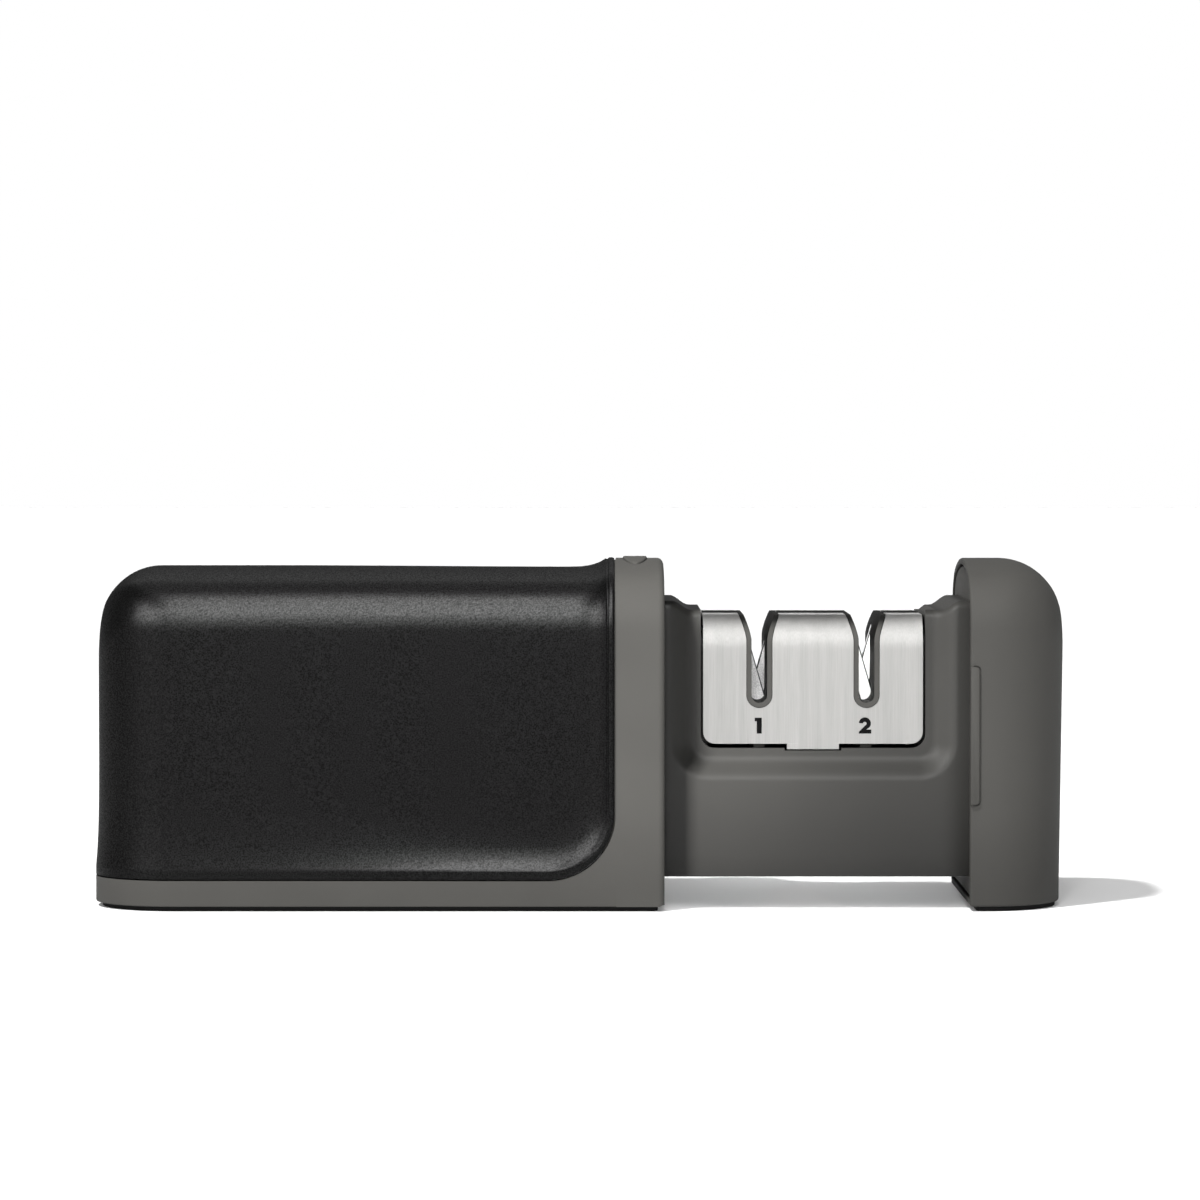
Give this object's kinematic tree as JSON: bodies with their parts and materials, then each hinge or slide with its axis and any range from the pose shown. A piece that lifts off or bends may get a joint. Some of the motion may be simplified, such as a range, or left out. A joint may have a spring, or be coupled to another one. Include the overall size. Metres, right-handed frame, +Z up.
{
  "type": "manual knife sharpener",
  "caption": "Pull-through knife sharpener: a steel-faced module with coarse and fine slots slides out of a black soft-grip handle with a grey collar, release button and end cap.",
  "frame": {"origin": "on the table, under the middle of the pulled-out sharpener's box", "axes": "+X along the slide towards the end cap, -Y towards the front, +Z up"},
  "size_m": [0.1798, 0.0512, 0.0648],
  "materials": {
    "frame_grey": "fine satin moulding",
    "core_plastic": "plain moulding",
    "grip_soft_touch": "matt soft-touch overmould with a fine grain",
    "pad_rubber": "matt rubber",
    "screw_steel": "zinc plated",
    "spring_steel": "blank spring steel",
    "module_grey": "fine satin moulding",
    "liner_grey": "fine satin moulding",
    "steel_sheet": "brushed upright, with dark numerals",
    "coarse_abrasive": "grit-coated steel",
    "fine_ceramic": "white fired ceramic, satin"
  },
  "bodies": {
    "handle": {"handle_frame": "frame_grey", "grip_core": "core_plastic", "grip_skin": "grip_soft_touch", "handle_pad": "pad_rubber", "frame_screws": "screw_steel", "latch_spring": "spring_steel"},
    "button": {"release_button": "frame_grey"},
    "module": {"cap_pad": "pad_rubber", "carrier_screws": "screw_steel", "cap_screws": "screw_steel", "holder_pins": "screw_steel", "carrier": "module_grey", "carrier_floor": "module_grey", "end_cap": "module_grey", "holder_front": "liner_grey", "holder_back": "liner_grey", "steel_cover": "steel_sheet", "coarse_plate_front": "coarse_abrasive", "coarse_plate_back": "coarse_abrasive", "fine_plate_front": "fine_ceramic", "fine_plate_back": "fine_ceramic"}
  },
  "joints": [
    {"name": "module_slide", "type": "slide", "parent": "handle", "child": "module", "axis": [1, 0, 0], "range_m": [-0.0557, 0], "deforming": ["latch_spring"]},
    {"name": "button_press", "type": "slide", "parent": "handle", "child": "button", "axis": [0, 0, -1], "range_m": [0, 0.0009], "stiffness_N_per_m": 800, "deforming": ["latch_spring"]}
  ]
}
